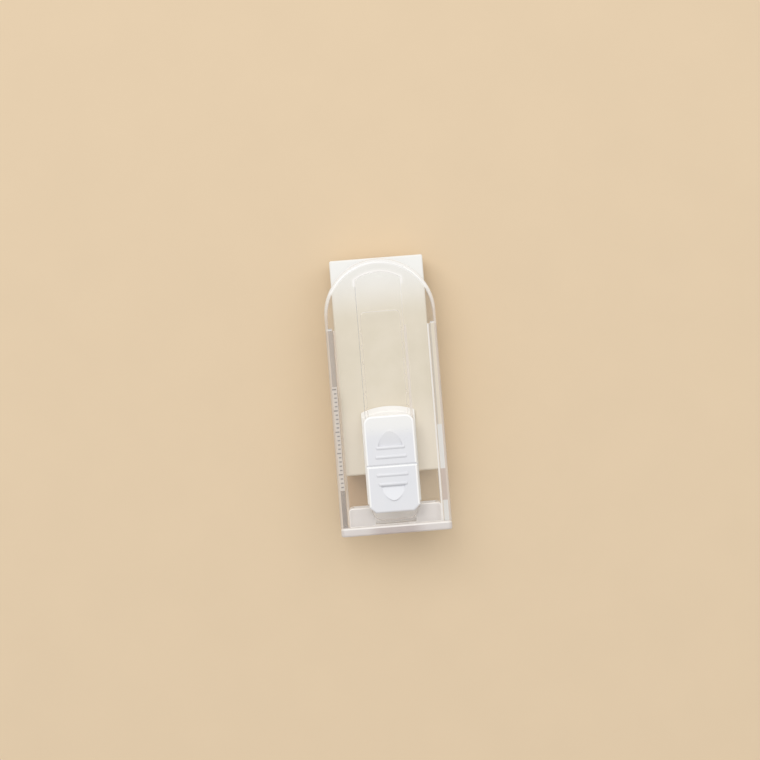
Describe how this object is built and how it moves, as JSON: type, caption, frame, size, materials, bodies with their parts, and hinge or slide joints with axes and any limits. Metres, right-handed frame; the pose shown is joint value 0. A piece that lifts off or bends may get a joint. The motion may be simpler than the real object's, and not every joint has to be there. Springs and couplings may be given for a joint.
{
  "type": "cartridge eraser",
  "caption": "Clear-cased cartridge eraser: a vinyl block slides out of the open arched end when the thumb slider on the front is pushed along its slot",
  "frame": {"origin": "on the back wall's outer face, below the middle of the whole object at rest, eraser drawn in", "axes": "+Y along the case towards the eraser's working end, +Z out of the front wall through the thumb pad, +X across"},
  "size_m": [0.0262, 0.065, 0.018],
  "materials": {
    "clear_plastic": "polished clear moulding with a cut-in channel and slot",
    "frosted_plastic": "milky translucent moulding",
    "white_plastic": "satin white moulding with raised grip bars",
    "eraser_vinyl": "soft matt vinyl, whiter at the working end"
  },
  "bodies": {
    "case": {"clear_case": "clear_plastic", "end_cap": "frosted_plastic"},
    "slider": {"thumb_pad": "white_plastic", "pusher": "white_plastic"},
    "eraser": {"eraser_block": "eraser_vinyl"}
  },
  "joints": [
    {"name": "slider_slide", "type": "slide", "parent": "case", "child": "slider", "axis": [0, 1, 0], "range_m": [0, 0.02555]},
    {"name": "eraser_pull_out", "type": "slide", "parent": "slider", "child": "eraser", "axis": [0, 1, 0], "range_m": [0, 0.0507]}
  ]
}
